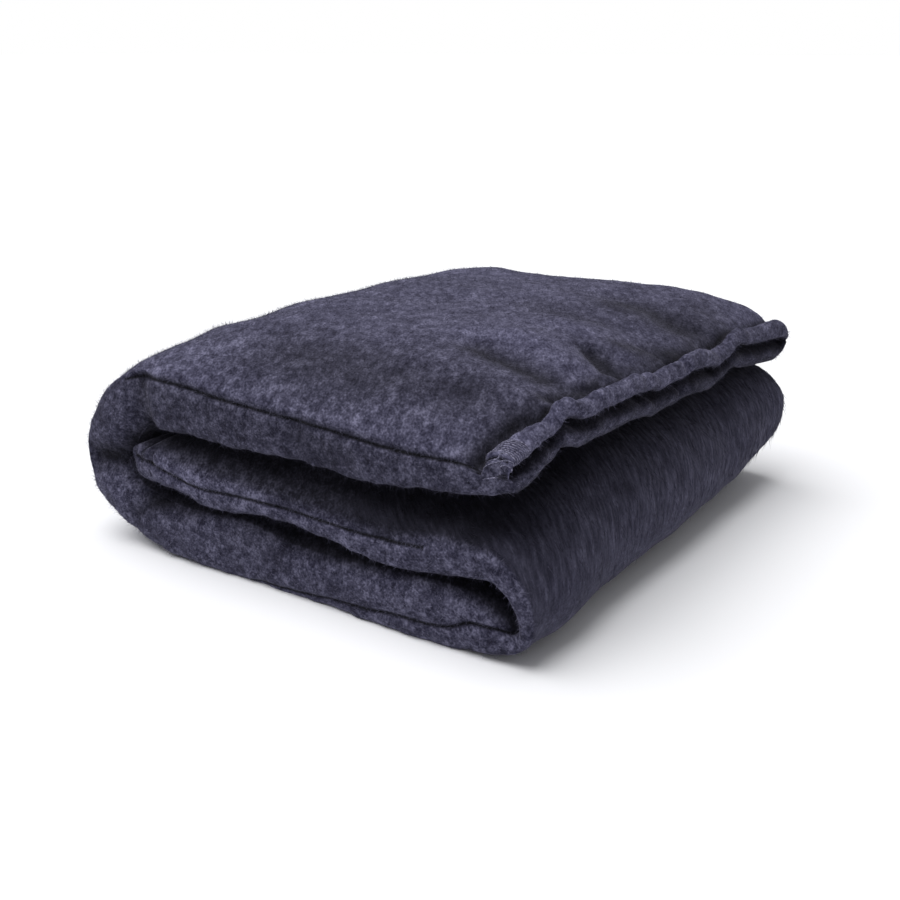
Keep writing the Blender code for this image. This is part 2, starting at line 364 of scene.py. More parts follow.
# Where each lies round the strip, from -90 degrees on the back, over 0 midway up a side wall, to 90
# on the face: where it begins or ends, and over how many degrees.
TOP_TURN = (60, 15)
FUZZ_TURN = (55, 20)
UNDER_TURN = (22, 40)
SHOULDER_TURN = (40, 45)  # towards the back
WALL_TURN = (85, 20)  # towards both faces
FUZZ_WALL = (80, 20)
DENT_TURN = (88, 30)
LUMP_TURN = (90, 10)
BACK_TURN = -80  # everything below this is the back
INNER_HEM_TURN = 5  # above these lie the line across the inner end, the hem's line and the roll
HEM_TURN = 30
ROLL_TURN = 40

# Where a finish begins, in metres, and within how much.
DEEP_INSET = (0.003, 0.013)  # in from the side edges, for the painted shade inside the folds
RESTING_HEIGHT = (0.002, 0.006)  # for the fibres above the floor
PILE_HEIGHT = (0.030, 0.035)  # and for the combed pile
ROLL_EDGE = 0.003  # how softly the roll's painted light ends at its line

# Painted light and shade on the top, in millimetres: darker in its troughs, in the hollows behind the
# hem and where less light falls, lighter where more falls; from one point to another, how wide, and by
# what share.
PaintedShade = namedtuple("PaintedShade", "name x0 y0 x1 y1 width share")
TOP_PAINTED_SHADES = [
    PaintedShade("middle of the near part", -50, -185, 120, -185, 54, -0.50),
    PaintedShade("near left corner", -190, -230, -70, -215, 50, 0.10),
    PaintedShade("far left corner", -200, 170, -90, 215, 55, 0.18),
    PaintedShade("trough to the first gather", 88, -102, 170, -124, 16, -0.58),
    PaintedShade("beyond that trough", 60, -62, 120, -70, 24, 0.16),
    PaintedShade("behind the near hem", 184, -262, 196, -184, 12, -0.62),
    PaintedShade("behind the first gather", 192, -164, 204, -100, 10, -0.60),
    PaintedShade("close behind the hem", 200, -100, 207, 95, 7, -0.40),
    PaintedShade("behind the second gather", 166, -34, 204, -60, 14, -0.70),
    PaintedShade("behind the third gather", 176, 2, 208, 50, 18, -0.70),
    PaintedShade("middle", 45, 62, 125, 50, 20, -0.26),
    PaintedShade("by the near hem", 140, -182, 180, -190, 18, -0.34),
    PaintedShade("far trough", 120, 125, 200, 115, 42, -0.58),
    PaintedShade("far end of the hem", 170, 200, 204, 150, 26, -0.30),
]


# ---- Small helpers -----------------------------------------------------------


def smooth_step(value):
    """0 up to 0 and 1 from 1 on, turning softly between them."""
    value = np.clip(value, 0, 1)
    return value * value * (3 - 2 * value)


def rise(value, start, reach):
    """0 up to a start and 1 from that reach beyond it."""
    return smooth_step((value - start) / reach)


def fall(value, end, reach):
    """1 until that reach before an end and 0 from the end on."""
    return smooth_step((end - value) / reach)


def band(places, start, end, soft):
    """1 between two places along the strip, falling softly to 0 outside them."""
    return smooth_step((places - start) / soft + 1) * smooth_step((end - places) / soft + 1)


def bell(distance, reach):
    """1 at no distance, falling away on both sides within about that reach."""
    return np.exp(-((distance / reach) ** 2))


def read_off(value, pairs):
    """What a table of (place, amount) pairs says at a value, straight between its places."""
    return np.interp(value, *zip(*pairs))


def unit(vectors):
    """The same directions, one unit long."""
    return vectors / np.maximum(np.linalg.norm(vectors, axis=-1, keepdims=True), TINY)


def travel(grid, axis):
    """How far each point of a grid is from the first one along that axis, over the others."""
    steps = np.linalg.norm(np.diff(grid, axis=axis), axis=-1)
    return np.insert(np.cumsum(steps, axis), 0, 0, axis)


def from_line(spots, line):
    """How far each spot is, in metres, from the straight piece between a row's two points."""
    start = np.array(line[1:3]) * MM
    run = np.array(line[3:5]) * MM - start
    offset = spots - start
    share = np.clip((offset @ run) / (run @ run), 0, 1)
    return np.linalg.norm(offset - share[..., None] * run, axis=-1)


def waves(points, size, seed):
    """Smooth, uneven waves of about that size, between about -1 and 1, at each point."""
    rng = np.random.default_rng(seed)
    total = np.zeros(points.shape[:-1])
    for _ in range(WAVE_COUNT):
        direction = rng.normal(size=3)
        direction *= 2 * math.pi / (size * rng.uniform(*WAVE_SIZES)) / np.linalg.norm(direction)
        total += np.sin(points @ direction + rng.uniform(0, 2 * math.pi))
    return total / WAVE_COUNT**0.5 / WAVE_SPREAD


def lumps(points, lump, share=1.0):
    """Waves with the height, size and seed of one row of lumps."""
    height, size, seed = lump
    return height * share * waves(points, size, seed)


# ---- The strip's sections ----------------------------------------------------


def along_rows(column, places):
    """A column of the course at places from 0 to LAST, on a smooth curve through its rows."""
    values = TABLE[column]
    row = np.clip(places.astype(int), 0, LAST - 1)
    share = places - row
    before = values[np.maximum(row - 1, 0)]
    start = values[row]
    end = values[row + 1]
    after = values[np.minimum(row + 2, LAST)]
    slope_in = (end - before) / 2
    slope_out = (after - start) / 2
    bend = 3 * (end - start) - 2 * slope_in - slope_out
    twist = 2 * (start - end) + slope_in + slope_out
    return start + slope_in * share + bend * share**2 + twist * share**3


def centre(places, across):
    """The middle of the thickness (x, z) and half of it, where across runs from -1 (near) to 1."""
    weight = np.abs(across) ** read_off(places, CROWN_POWERS)
    parts = []
    for what in ("x", "z", "half"):
        middle, near, far = (along_rows(f"{part}_{what}", places) for part in ("mid", "near", "far"))
        parts.append((1 - weight) * middle + weight * np.where(across > 0, far, near))
    x, z, half = parts
    return x - COURSE_MIDDLE * MM, z, half


def directions(places, across):
    """The unit direction along the strip and the one out of its face, as (x, z) pairs."""
    x0, z0, _ = centre(np.maximum(places - SLOPE_STEP, 0), across)
    x1, z1, _ = centre(np.minimum(places + SLOPE_STEP, LAST), across)
    length = np.hypot(x1 - x0, z1 - z0)
    along = np.stack([(x1 - x0) / length, (z1 - z0) / length], -1)
    out = np.stack([-along[..., 1], along[..., 0]], -1)
    return along, out


def side_edge(places, side):
    """The Y of a side edge, -1 the near one and 1 the far one: drawn in a little, unevenly."""
    draw = DRAW_IN * (0.5 - 0.5 * np.cos(places * DRAW_TURN + side)) + read_off(places, SET_BACK)
    return side * (HALF_DEPTH - draw)


def rounding(inset, reach):
    """The share of the thickness left at an inset from an edge that rounds over within reach."""
    share = np.clip(inset / reach, 0, 1)
    return (1 - (1 - share) ** ROUND_POWER) ** (1 / ROUND_POWER)


def face_round(places):
    """How far in from its side edges the face rounds over at a place along the strip."""
    start, end = INNER_ROWS
    tight = np.clip((places - start) / (end - start), 0, 1) + np.clip(1 - places / INNER_ENDS, 0, 1)
    return INNER_FACE_ROUND + (FACE_ROUND - INNER_FACE_ROUND) * tight


def back_round(places):
    """The same for the back."""
    return read_off(places, ((0, INNER_BACK_ROUND), (INNER_ENDS, BACK_ROUND)))


def stations():
    """Places along the strip and how far each is from the inner end, closer together at the ends."""
    fine = np.linspace(0, LAST, COURSE_SAMPLES)
    x, z, _ = centre(fine, np.zeros_like(fine))
    length = np.concatenate([[0], np.cumsum(np.hypot(np.diff(x), np.diff(z)))])
    total = length[-1]
    by_hem = np.exp(-(((total - length) / BY_HEM) ** 4))
    by_inner = np.exp(-((length / BY_INNER) ** 4))
    step = STATION_STEP + (HEM_STEP - STATION_STEP) * by_hem + (INNER_STEP - STATION_STEP) * by_inner
    count = np.concatenate([[0], np.cumsum(np.diff(length) / step[1:])])
    wanted = np.linspace(0, count[-1], int(count[-1]) + 1)
    places = np.interp(wanted, count, fine)
    return places, np.interp(places, fine, length), total


def lane_grid(places, reach, inner_lanes):
    """Y, the place across, the height up the wall (0 to 1) and the turn of every lane."""
    turns = np.linspace(0, 90, WALL_LANES + 1)
    near, far = side_edge(places, -1), side_edge(places, 1)
    lift = np.sin(np.radians(turns)) ** (2 / ROUND_POWER)
    inset = reach[:, None] * (1 - np.cos(np.radians(turns)) ** (2 / ROUND_POWER))
    share = (np.arange(1, inner_lanes + 1) / (inner_lanes + 1))[None]
    inner = (near + reach)[:, None] * (1 - share) + (far - reach)[:, None] * share
    y = np.concatenate([near[:, None] + inset, inner, (far[:, None] - inset)[:, ::-1]], 1)
    height = np.concatenate([lift, np.ones(inner_lanes), lift[::-1]])
    turn = np.concatenate([turns, np.full(inner_lanes, 90.0), turns[::-1]])
    across = 2 * (y - near[:, None]) / (far - near)[:, None] - 1
    return y, np.clip(across, -1, 1), height, turn


def roll_spread(y):
    """How wide the rolled hem is at a Y, as a share of its own width."""
    return read_off(y, ROLL_SPREAD)


def gather_at(y, what):
    """One measure of the hem's gathers at a Y, on a curve that turns softly at each of them."""
    knots = np.array([gather.y for gather in GATHERS]) * MM
    values = np.array([getattr(gather, what) for gather in GATHERS], float)
    row = np.clip(np.searchsorted(knots, y) - 1, 0, len(knots) - 2)
    share = smooth_step((y - knots[row]) / (knots[row + 1] - knots[row]))
    return values[row] * (1 - share) + values[row + 1] * share


def roll_height(y, from_outer):
    """How high the rolled hem, and the crease behind it, bring the face at each point."""
    in_roll = from_outer / roll_spread(y)
    behind = np.maximum(in_roll - HEM_WIDTH, 0)
    shift = RIPPLE_SHIFT * np.sin(RIPPLE_DRIFT * y)
    ripple = ROLL_RIPPLE * np.sin(2 * math.pi * y / RIPPLE_STEP + shift)
    arc = np.sqrt(np.maximum(0, ROLL_RADIUS**2 - (in_roll - ROLL_PLACE) ** 2))
    valley = -HEM_CREASE * np.exp(-behind / CREASE_REACH)
    return np.where(behind > 0, valley, arc * (gather_at(y, "fullness") + ripple) - ROLL_SINK)


def section_points(places, from_inner, from_outer, lanes, side):
    """The points of every section's face (side 1) or back (-1), their turns and their courses."""
    reach = face_round(places) if side > 0 else back_round(places)
    y, across, height, turn = lane_grid(places, reach, lanes)
    x, z, half = centre(places[:, None], across)
    along, out = directions(places[:, None], across)
    offset = half * (END_SHARE + (1 - END_SHARE) * rounding(from_inner, END_ROUND))[:, None]
    if side > 0:
        hollow = INNER_CREASE * bell(from_inner[:, None] - INNER_HEM, INNER_REACH)
        offset = offset + roll_height(y, from_outer[:, None]) - hollow
    offset = side * offset * height
    points = np.stack([x + out[..., 0] * offset, y, z + out[..., 1] * offset], -1)
    return points, np.broadcast_to(side * turn, y.shape), along


def ring_normals(points):
    """The outward normals of closed rings of points, one ring for each section."""
    around = np.roll(points, -1, 1) - np.roll(points, 1, 1)
    return unit(np.cross(np.gradient(points, axis=0), around))


# ---- Seams, folds and dents --------------------------------------------------


def seam_gaps(ring, turn, places, around, lanes):
    """How far each point is from its own wall's seam, and how strongly that seam draws in."""
    is_near = ring[..., 1] < 0
    girth = around[:, -1] + np.linalg.norm(ring[:, 0] - ring[:, -1], axis=-1)
    gap, strength = np.empty(turn.shape), np.empty(turn.shape)
    for seam, walls, girths in ((NEAR_SEAM, is_near, girth), (FAR_SEAM, ~is_near, 0 * girth)):
        knots, turns, strengths = zip(*seam)
        seam_turns = np.interp(places, knots, turns)
        pulls = np.interp(places, knots, strengths)
        for i, wall in enumerate(walls):
            inside = np.flatnonzero(wall & (np.abs(turn[i]) < 90))
            order = inside[np.argsort(turn[i][inside])]
            arc = around[i].copy()
            arc[lanes:] -= girths[i]  # on the near wall the ring's end comes just before its start
            gap[i, wall] = arc[wall] - np.interp(seam_turns[i], turn[i][order], arc[order])
            strength[i, wall] = pulls[i]
    return gap, strength


def pleat_depths(ring, places, from_inner):
    """How deep the pleats draw the cloth in at each point."""
    depth = np.zeros(ring.shape[:-1])
    for pleat in PLEATS:
        away = from_inner[:, None] - np.interp(pleat.place, places, from_inner)
        inset = HALF_DEPTH - pleat.side * ring[..., 1]
        depth += pleat.depth * smooth_step(1 - inset / pleat.reach) * bell(away, pleat.width)
    return depth


def fold_heights(points):
    """How high the soft folds lift each point of the top face."""
    height = np.zeros(points.shape[:-1])
    for fold in FOLDS:
        start = np.array([fold.x0, fold.y0]) * MM
        run = np.array([fold.x1, fold.y1]) * MM - start
        length = np.linalg.norm(run)
        offset = points[..., :2] - start
        share = (offset @ run) / length**2
        beside = (offset @ np.array([-run[1], run[0]])) / length
        ends = smooth_step(share / FOLD_START + 0.5) * smooth_step((1 - share) / FOLD_END + 0.5)
        height += fold.height * MM * ends * bell(beside, fold.width * MM)
    return height


def dent_depths(points):
    """How far the near wall is pinched in at each point."""
    depth = np.zeros(points.shape[:-1])
    spots = points[..., [0, 2]] + np.array([COURSE_MIDDLE * MM, 0])
    for dent in DENTS:
        depth += dent.depth * MM * bell(from_line(spots, dent), dent.width * MM)
    return depth


# ---- What the finish reads at each point -------------------------------------


def on_top(places, turn):
    """Where the top face is, from 0 to 1."""
    return band(places, *TOP_ROWS) * rise(turn, *TOP_TURN)


def covered(places, turn):
    """Where the long combed pile of the right fold lies, from 0 to 1."""
    return band(places, *PILE_ROWS) * rise(turn, *FUZZ_TURN)


def top_painted_shading(points):
    """How much painted light and shade lighten or darken the top face at each point."""
    painted_shading = np.full(points.shape[:-1], TOP_PAINTED_LIGHT)
    for shade in TOP_PAINTED_SHADES:
        painted_shading *= 1 + shade.share * bell(from_line(points[..., :2], shade), shade.width * MM)
    return painted_shading


def painted_shading_at(places, turn, points, lift, dent, roll):
    """How much painted light and shade lighten or darken the wool at each point, around 1."""
    top = on_top(places, turn)
    wall = fall(np.abs(turn), *WALL_TURN)
    deep = rise(HALF_DEPTH - np.abs(points[..., 1]), *DEEP_INSET)
    painted_shade_inside = np.maximum(band(places, *ENCLOSED_ROWS), turn < BACK_TURN) * deep
    pile = covered(places, turn)
    side = read_off(places, WALL_PAINTED_SHADES) * wall + 1 - wall
    # painted shade on the pile, under the overhanging hem, at the back's shoulder and under the top
    # layer
    for share, spot in (
        (PILE_PAINTED_SHADE, pile),
        (OVERHUNG_PAINTED_SHADOW, pile * band(places, *OVERHUNG_ROWS)),
        (SHOULDER_PAINTED_SHADE, rise(-turn, *SHOULDER_TURN)),
        (UNDER_PAINTED_SHADOW, band(places, *UNDER_ROWS) * rise(turn, *UNDER_TURN)),
    ):
        side = side * (1 + (share - 1) * spot)
    # painted light on the top and its folds, painted light and shade on the walls, painted shade inside
    # the folds and in the pinches
    painted_shading = (top_painted_shading(points) + FOLD_PAINTED_SHADING * lift) * top + side * (1 - top)
    painted_shading = painted_shading * (1 - painted_shade_inside) + INNER_PAINTED_SHADE * painted_shade_inside
    painted_shading = np.maximum(painted_shading * (1 - DENT_PAINTED_SHADE * dent), LEAST_PAINTED_SHADE)
    return painted_shading * (1 - roll) + read_off(points[..., 1], HEM_PAINTED_LIGHT) * roll


def flecks(places, turn, points, roll):
    """How strongly the wool is flecked at each point, around 1."""
    top = on_top(places, turn)
    pile = covered(places, turn)
    depth = (points[..., 1] - LOW.y) / (HIGH.y - LOW.y)
    side = SIDE_FLECK * (1 - pile) + PILE_FLECK * pile
    fleck = read_off(depth, TOP_FLECKS) * top + side * (1 - top)
    return fleck * (1 - roll) + HEM_FLECK * roll


def fibre_covers(places, turn, points):
    """Where each kind of brushed fibre grows, from 0 to 1."""
    face = rise(turn, *FUZZ_TURN)
    resting = rise(points[..., 2], *RESTING_HEIGHT)
    return {
        "cover_top": band(places, *TOP_FUZZ_ROWS) * face,
        "cover_right": covered(places, turn) * rise(points[..., 2], *PILE_HEIGHT),
        "cover_left": band(places, *LEFT_FUZZ_ROWS) * face * resting,
        "cover_sides": fall(np.abs(turn), *FUZZ_WALL) * resting,
    }


# ---- The shell ---------------------------------------------------------------


def zip_lines(first, second, first_share, second_share):
    """Triangles between two lines of vertex numbers that share their ends."""
    faces = []
    i, j = 0, 0
    while i < len(first) - 1 or j < len(second) - 1:
        step_first = j == len(second) - 1 or (
            i < len(first) - 1 and first_share[i + 1] <= second_share[j + 1]
        )
        if step_first:
            corners = (first[i], first[i + 1], second[j])
            i += 1
        else:
            corners = (first[i], second[j + 1], second[j])
            j += 1
        if len(set(corners)) == 3:
            faces.append(corners)
    return faces


def end_cap(face, back, along, lips, next_number, face_numbers, back_numbers, fullness):
    """The points that close an end and the faces over them, from the face round to the back."""
    last = len(face) - 1
    spread = 1 - np.abs(np.linspace(-1, 1, last + 1)) ** MOUTH_POWER
    partner = np.stack([np.interp(face[:, 1], back[:, 1], back[:, k]) for k in range(3)], -1)
    middle = (face + partner) / 2
    half = (face - partner) / 2
    points, faces = [], []
    numbers = face_numbers
    for lip in lips:
        beyond = lip.beyond * spread * (fullness if lip.beyond > 0 else 1)
        points.append((middle + half * lip.height + along * beyond[:, None])[1:-1])
        following = [numbers[0], *range(next_number, next_number + last - 1), numbers[-1]]
        next_number += last - 1
        for i in range(last):
            corners = (numbers[i], numbers[i + 1], following[i + 1], following[i])
            faces.append(tuple(dict.fromkeys(corners)))
        numbers = following
    shares = [(line[:, 1] - line[0, 1]) / (line[-1, 1] - line[0, 1]) for line in (face, back)]
    faces += zip_lines(numbers, back_numbers, *shares)
    return np.concatenate(points), faces


def close_ends(ring, lanes, along):
    """The points that close the inner end and the hem, and the faces of the whole shell."""
    numbers = np.arange(ring.shape[0] * ring.shape[1]).reshape(ring.shape[:2])
    beside = np.roll(numbers, -1, 1)
    quads = np.stack([numbers[:-1], numbers[1:], beside[1:], beside[:-1]], -1)
    faces = quads.reshape(-1, 4).tolist()
    back = [0, *range(ring.shape[1] - 1, lanes - 2, -1)]
    next_number = numbers.size
    caps = []
    for row, lips, sign, fullness in (
        (0, PLAIN_LIPS, -1, 1.0),
        (-1, HEM_LIPS, 1, gather_at(ring[-1, :lanes, 1], "fullness")),
    ):
        out = np.zeros((lanes, 3))
        out[:, [0, 2]] = along[row] * sign
        line, line_numbers = ring[row], numbers[row]
        ends = line_numbers[:lanes].tolist(), line_numbers[back].tolist()
        points, cap_faces = end_cap(line[:lanes], line[back], out, lips, next_number, *ends, fullness)
        next_number += len(points)
        faces += [corners[::-sign] for corners in cap_faces]
        caps.append(points)
    return caps, faces


def carried(values, extra, *fill):
    """What the finish reads at the ring's points, and the same fill at each extra point."""
    values = np.reshape(values, (-1, len(fill)))
    return np.concatenate([values, np.full((extra, len(fill)), fill)]).squeeze()


def shape_shell():
    """The duvet's points and faces, what its finish reads there, and the lines over its roll."""
    places, from_inner, total = stations()
    from_outer = total - from_inner
    face, face_turn, along = section_points(places, from_inner, from_outer, FACE_LANES, 1)
    back, back_turn, _ = section_points(places, from_inner, from_outer, BACK_LANES, -1)
    lanes = face.shape[1]
    ring = np.concatenate([face, back[:, -2:0:-1]], 1)
    turn = np.concatenate([face_turn, back_turn[:, -2:0:-1]], 1)
    outer = from_outer[:, None] / roll_spread(ring[..., 1])
    on_wall = fall(np.abs(turn), *DENT_TURN) * (ring[..., 1] < 0)
    column = np.broadcast_to(places[:, None], turn.shape)
    onward, around = travel(ring, 0), travel(ring, 1)

    # the seams, the pleats, the soft folds of the top face and uneven filling everywhere
    seam_gap, strength = seam_gaps(ring, turn, places, around, lanes)
    pucker = 1 + lumps(ring, SEAM_PUCKER)
    groove = SEAM_DEPTH * strength * pucker * bell(seam_gap, SEAM_REACH)
    folded = rise(column, *FOLD_ROWS) * (turn > TOP_TURN[0])
    lift = fold_heights(ring) * folded * rise(outer, HEM_WIDTH, FOLD_STOP)
    filling = sum(lumps(ring, lump) for lump in FILLING_LUMPS)
    filling += lumps(ring, WALL_LUMP, fall(np.abs(turn), *LUMP_TURN))
    pleats = pleat_depths(ring, places, from_inner)
    ring = ring + ring_normals(ring) * (lift + filling - groove - pleats)[..., None]
    dent = dent_depths(ring) * on_wall
    ring[..., 1] += dent

    # the end is lifted and pushed by its gathers
    by_hem = smooth_step(1 - outer / GATHER_REACH)
    ring[..., 2] += gather_at(ring[..., 1], "lift") * MM * by_hem
    ring[..., 0] += gather_at(ring[..., 1], "push") * MM * by_hem**2

    # both ends, with the uneven lip of the hem
    caps, faces = close_ends(ring, lanes, along)
    inner_cap, outer_cap = caps
    lip_height = np.repeat([lip.height for lip in HEM_LIPS], lanes - 2)
    ruffle = read_off(lip_height, RUFFLED_LIPS)
    outer_cap[:, 0] += lumps(outer_cap, RUFFLE_OUT, ruffle)
    outer_cap[:, 2] += lumps(outer_cap, RUFFLE_UP, ruffle)
    points = np.concatenate([ring.reshape(-1, 3), *caps])
    points[:, 2] = np.maximum(points[:, 2], 0)
    extra = len(inner_cap) + len(outer_cap)

    # what the finish reads
    lean = read_off(places, COMB_LEANS)[:, None]
    leaning = np.cumsum(np.diff(onward, axis=0, prepend=0) * lean, 0)
    comb = np.stack([onward, around + leaning + lumps(ring, COMB_WANDER), 0 * onward], -1)
    nap = unit(np.gradient(ring, axis=0))
    nap[..., 1] -= lean * covered(column, turn)
    inner_gap = np.where(turn > INNER_HEM_TURN, np.abs(from_inner[:, None] - INNER_HEM), 1.0)
    outer_gap = np.abs(outer - HEM_WIDTH) * np.where(outer > HEM_WIDTH, CREASE_SHADE, 1.0)
    outer_gap = np.where(turn > HEM_TURN, outer_gap, 1.0)
    roll = (turn > ROLL_TURN) * fall(outer, HEM_WIDTH, ROLL_EDGE)
    # painted light and shade at every point of the ring
    painted_shading = carried(painted_shading_at(column, turn, ring, lift, dent, roll), extra, 1.0)
    # painted light on the hem's lip as on the roll, with painted shade in the mouth under the roll
    hem_painted_light = read_off(outer_cap[:, 1], HEM_PAINTED_LIGHT)
    painted_shading[-len(outer_cap) :] = hem_painted_light * read_off(lip_height, LIP_PAINTED_SHADES)
    # painted shade on the inner end, darker further in from its side edges
    inset = HALF_DEPTH - np.abs(inner_cap[:, 1])
    painted_shading[-extra : -len(outer_cap)] = read_off(inset, INNER_END_PAINTED_SHADES)
    finish = {
        name: carried(cover, extra, float(name == "cover_sides"))
        for name, cover in fibre_covers(column, turn, ring).items()
    }
    finish["seam_gap"] = carried(seam_gap + np.sign(seam_gap) * (strength < SEAM_SEEN), extra, 1.0)
    finish["hem_gap"] = carried(np.minimum(inner_gap, outer_gap), extra, 1.0)
    finish["painted_shading"] = painted_shading
    finish["fleck"] = carried(flecks(column, turn, ring, roll), extra, HEM_FLECK)
    finish["comb"] = carried(comb, extra, 0.0, 0.0, 0.0)
    finish["nap"] = unit(carried(nap, extra, 1.0, 0.0, 0.0))
    lips = outer_cap.reshape(len(HEM_LIPS), lanes - 2, 3)
    on_face = WALL_LANES + 2
    roll_lines = [line[1:-1] for line in ring[:, :lanes][outer[:, on_face] < HEM_WIDTH]]
    return points, faces, finish, [*roll_lines, *lips[:THREAD_LIPS]]


# ---- Pieces ------------------------------------------------------------------


def put_in(name, data):
    """A new object in the scene."""
    item = bpy.data.objects.new(name, data)
    bpy.context.scene.collection.objects.link(item)
    return item


def smooth_piece(name, points, faces, material):
    """A new smooth piece with one finish."""
    mesh = bpy.data.meshes.new(name)
    mesh.from_pydata(points, [], faces)
    mesh.update()
    mesh.shade_smooth()
    mesh.materials.append(material)
    return put_in(name, mesh)


def make_shell(wool):
    """The duvet's cloth, and the lines that the threads of its hem follow."""
    points, faces, finish, roll_lines = shape_shell()
    shell = smooth_piece("duvet_shell", points.tolist(), faces, wool)
    for name, values in finish.items():
        kind, key = ("FLOAT", "value") if values.ndim == 1 else ("FLOAT_VECTOR", "vector")
        attribute = shell.data.attributes.new(name, kind, "POINT")
        attribute.data.foreach_set(key, values.astype(np.float32).ravel())
    return shell, roll_lines


def tube(path, out, across, radius):
    """Points and faces of a closed tube along a path, thinner towards its ends."""
    count = len(path)
    turns = np.linspace(0, 2 * math.pi, THREAD_SIDES, endpoint=False)
    fullness = np.sqrt(np.sin(np.linspace(THREAD_TAPER, math.pi - THREAD_TAPER, count)))
    points = [
        path[i] + radius * fullness[i] * (math.cos(turn) * out[i] + math.sin(turn) * across)
        for i in range(count)
        for turn in turns
    ]
    faces = []
    for low in range(0, (count - 1) * THREAD_SIDES, THREAD_SIDES):
        high = low + THREAD_SIDES
        for k in range(THREAD_SIDES):
            following = (k + 1) % THREAD_SIDES
            faces.append((low + k, low + following, high + following, high + k))
    faces.append(tuple(reversed(range(THREAD_SIDES))))
    faces.append(tuple(range((count - 1) * THREAD_SIDES, count * THREAD_SIDES)))
    return points, faces


def make_threads(roll_lines, yarn):
    """The turns of yarn over the near end of the rolled hem."""
    across = np.array([0.0, 1.0, 0.0])
    points, faces = [], []
    for number in range(THREADS):
        start = THREAD_START + number * THREAD_STEP
        path = []
        for share, line in zip(np.linspace(0, 1, len(roll_lines)), roll_lines):
            x, y, z = line.T
            turn_y = start + THREAD_SLANT * share
            path.append((np.interp(turn_y, y, x), turn_y, np.interp(turn_y, y, z)))
        path = np.array(path)
        onward = np.gradient(path, axis=0)
        out = unit(np.stack([-onward[:, 2], np.zeros(len(path)), onward[:, 0]], -1))
        turned, sides = tube(path + THREAD_LIFT * THREAD_RADIUS * out, out, across, THREAD_RADIUS)
        faces += [tuple(corner + len(points) for corner in corners) for corners in sides]
        points += turned
    return smooth_piece("hem_threads", points, faces, yarn)


# ---- Nodes -------------------------------------------------------------------


class Nodes:
    """A short hand for adding nodes to one tree. An input is a constant or another's output."""

    def __init__(self, tree):
        self.tree = tree

    def feed(self, socket, value):
        """Links a socket to another node's output, or gives it a constant."""
        if isinstance(value, bpy.types.NodeSocket):
            self.tree.links.new(value, socket)
        else:
            socket.default_value = value

    def add(self, kind, inputs=(), **settings):
        """A node with these settings and these inputs, each by its name or its number."""
        node = self.tree.nodes.new(kind)
        for name, value in settings.items():
            setattr(node, name, value)
        for name, value in dict(inputs).items():
            self.feed(node.inputs[name], value)
        return node

    def math(self, operation, *values, clamp=False):
        """One sum with one or two values."""
        node = self.add("ShaderNodeMath", enumerate(values), operation=operation, use_clamp=clamp)
        return node.outputs[0]

    def weighted(self, values, shares):
        """Two values added up by their shares."""
        return self.math("ADD", *(self.math("MULTIPLY", *pair) for pair in zip(values, shares)))

    def vector(self, operation, *values):
        """The same with vectors."""
        node = self.add("ShaderNodeVectorMath", enumerate(values), operation=operation)
        return node.outputs["Value" if operation == "DOT_PRODUCT" else "Vector"]

    def scaled(self, vector, scale):
        """A vector or a colour times a value."""
        node = self.add("ShaderNodeVectorMath", {0: vector, "Scale": scale}, operation="SCALE")
        return node.outputs["Vector"]

    def attribute(self, name, output="Fac"):
        """What the piece's points carry under that name."""
        return self.add("ShaderNodeAttribute", attribute_name=name).outputs[output]

    def place(self):
        """Where the surface lies in the part's own frame."""
        return self.add("ShaderNodeTexCoord").outputs["Object"]

    def noise(self, vector, spots):
        """Noise with one kind of spots."""
        shape = {"Scale": spots.stretch, "Rotation": (0, 0, spots.turn), "Vector": vector}
        inputs = {
            "Scale": spots.scale,
            "Detail": spots.detail,
            "Roughness": spots.roughness,
            "Vector": self.add("ShaderNodeMapping", shape, vector_type="TEXTURE").outputs["Vector"],
        }
        return self.add("ShaderNodeTexNoise", inputs).outputs["Fac"]

    def ramp(self, factor, stops):
        """A colour read off between stops, each a level and its colour."""
        ramp = self.add("ShaderNodeValToRGB", {"Fac": factor})
        elements = ramp.color_ramp.elements
        while len(elements) < len(stops):
            elements.new(0.5)
        for element, (position, colour) in zip(elements, stops):
            element.position = position
            element.color = (*colour, 1)
        return ramp.outputs["Color"]

    def bump(self, height, strength, distance):
        """A normal that stands for a finer relief."""
        shape = {"Strength": strength, "Distance": distance, "Height": height}
        return self.add("ShaderNodeBump", shape).outputs["Normal"]

    def random(self, seed, step, low, high):
        """A random value for each point, or a vector where low and high are vectors."""
        data, kind = ("FLOAT_VECTOR", "VECTOR") if isinstance(low, tuple) else ("FLOAT", "VALUE")
        seeded = {"Seed": self.math("ADD", seed, step * SEED_STEP)}
        node = self.add("FunctionNodeRandomValue", seeded, data_type=data)
        ends = [socket for socket in node.inputs if socket.type == kind]
        ends[0].default_value = low
        ends[1].default_value = high
        return next(socket for socket in node.outputs if socket.type == kind)


# ---- Brushed fibres ----------------------------------------------------------

